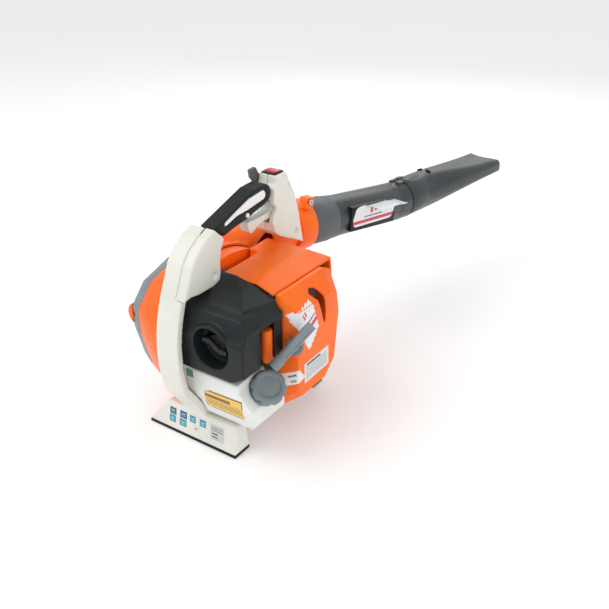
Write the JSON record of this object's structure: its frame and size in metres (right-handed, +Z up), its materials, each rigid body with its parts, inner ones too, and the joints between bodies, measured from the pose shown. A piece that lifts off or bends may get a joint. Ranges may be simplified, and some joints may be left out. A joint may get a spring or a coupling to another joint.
{
  "type": "leaf blower",
  "caption": "Hand-held petrol leaf blower with a fan housing, pull starter, fuel tank, top grip with trigger and switch, and an angled tube with a flat nozzle.",
  "frame": {"origin": "underside of the rubber foot pad, below the fan housing's joint with the engine", "axes": "+Y is the way it blows, +X is the starter side, +Z is up"},
  "size_m": [0.262, 0.8066, 0.334],
  "materials": {
    "cream_plastic": "smooth moulded",
    "orange_plastic": "smooth moulded",
    "black_rubber": "matt",
    "white_plastic": "smooth",
    "grey_plastic": "smooth moulded",
    "charcoal_plastic": "fine grain",
    "tube_plastic": "semi-matt",
    "lever_plastic": "smooth",
    "red_plastic": "smooth",
    "fan_plastic": "moulded",
    "steel": "turned",
    "alloy": "cast",
    "filter_foam": "open foam",
    "fuel_hose": "smooth hose",
    "muffler_sheet": "heat-stained"
  },
  "bodies": {
    "housing": {"foot_pad": "black_rubber", "rear_frame": "cream_plastic", "handle_right": "cream_plastic", "grip": "black_rubber", "grip_core": "white_plastic", "control_left": "cream_plastic", "control_right": "cream_plastic", "trigger_pin": "steel", "switch_bezel": "charcoal_plastic", "volute_inner": "orange_plastic", "volute_outer": "orange_plastic", "intake_guard": "grey_plastic", "guard_latch": "orange_plastic", "outlet_collar": "orange_plastic", "collar_screw": "steel", "blower_tube": "tube_plastic", "label_plate": "tube_plastic", "crankcase": "alloy", "bearings": "steel", "crank_pin": "steel", "connecting_rod": "alloy", "piston": "alloy", "engine_cylinder": "alloy", "spark_plug": "steel", "plug_boot": "black_rubber", "ignition_coil": "charcoal_plastic", "carburettor": "alloy", "inlet_flange": "charcoal_plastic", "filter_base": "charcoal_plastic", "air_filter": "filter_foam", "filter_cover": "charcoal_plastic", "fuel_tank": "white_plastic", "fuel_line": "fuel_hose", "muffler": "muffler_sheet", "engine_shroud": "orange_plastic", "cover_post": "orange_plastic", "starter_cover": "orange_plastic", "recoil_spring": "steel", "rope_bush": "grey_plastic", "buffers": "black_rubber", "housing_screws": "steel"},
    "rotor": {"crankshaft": "steel", "flywheel": "alloy", "fan_wheel": "fan_plastic", "fan_nut": "steel"},
    "trigger": {"throttle_trigger": "cream_plastic"},
    "valve": {"throttle_valve": "steel"},
    "lever": {"setting_lever": "lever_plastic"},
    "switch": {"stop_switch": "red_plastic"},
    "choke": {"choke_knob": "charcoal_plastic"},
    "cap": {"fuel_cap": "grey_plastic"},
    "pull": {"starter_grip": "grey_plastic"},
    "pulley": {"starter_pulley": "charcoal_plastic"},
    "nozzle_body": {"nozzle": "tube_plastic"}
  },
  "joints": [
    {"name": "crank_spin", "type": "hinge", "parent": "housing", "child": "rotor", "pos_m": [0.032, -0.028, 0.126], "axis": [1, 0, 0], "continuous": true},
    {"name": "trigger_pull", "type": "hinge", "parent": "housing", "child": "trigger", "pos_m": [-0.01, 0.046, 0.283], "axis": [1, 0, 0], "range_deg": [-7, 0], "stiffness_Nm_per_rad": 0.6, "springref_deg": 2.86},
    {"name": "throttle_turn", "type": "hinge", "parent": "housing", "child": "valve", "pos_m": [0.032, -0.076, 0.18], "axis": [1, 0, 0], "range_deg": [-71, 0]},
    {"name": "lever_turn", "type": "hinge", "parent": "housing", "child": "lever", "pos_m": [-0.025, 0.052, 0.3], "axis": [1, 0, 0], "range_deg": [-35, 5]},
    {"name": "switch_rock", "type": "hinge", "parent": "housing", "child": "switch", "pos_m": [-0.01, 0.051, 0.324], "axis": [1, 0, 0], "range_deg": [0, 6]},
    {"name": "choke_turn", "type": "hinge", "parent": "housing", "child": "choke", "pos_m": [0.038, -0.146, 0.17], "axis": [0, 1, 0], "range_deg": [0, 90]},
    {"name": "cap_turn", "type": "hinge", "parent": "housing", "child": "cap", "pos_m": [0.086, -0.098, 0.105], "axis": [0.5273, -0.412, 0.7431], "range_deg": [0, 270]},
    {"name": "cord_pull", "type": "slide", "parent": "housing", "child": "pull", "axis": [0.3504, -0.7514, 0.5592], "range_m": [0, 0.6], "stiffness_N_per_m": 20, "springref_m": -0.3},
    {"name": "pulley_turn", "type": "hinge", "parent": "housing", "child": "pulley", "pos_m": [0.087, -0.028, 0.126], "axis": [1, 0, 0], "range_deg": [-10, 1573]},
    {"name": "nozzle_turn", "type": "hinge", "parent": "housing", "child": "nozzle_body", "pos_m": [0.00618, 0.39182, 0.19008], "axis": [0.2162, 0.9754, 0.0436], "range_deg": [0, 14]}
  ],
  "couplings": [
    {"joint": "throttle_turn", "follows": "trigger_pull", "ratio": 10},
    {"joint": "pulley_turn", "follows": "cord_pull", "rad_per_m": 45.455}
  ]
}
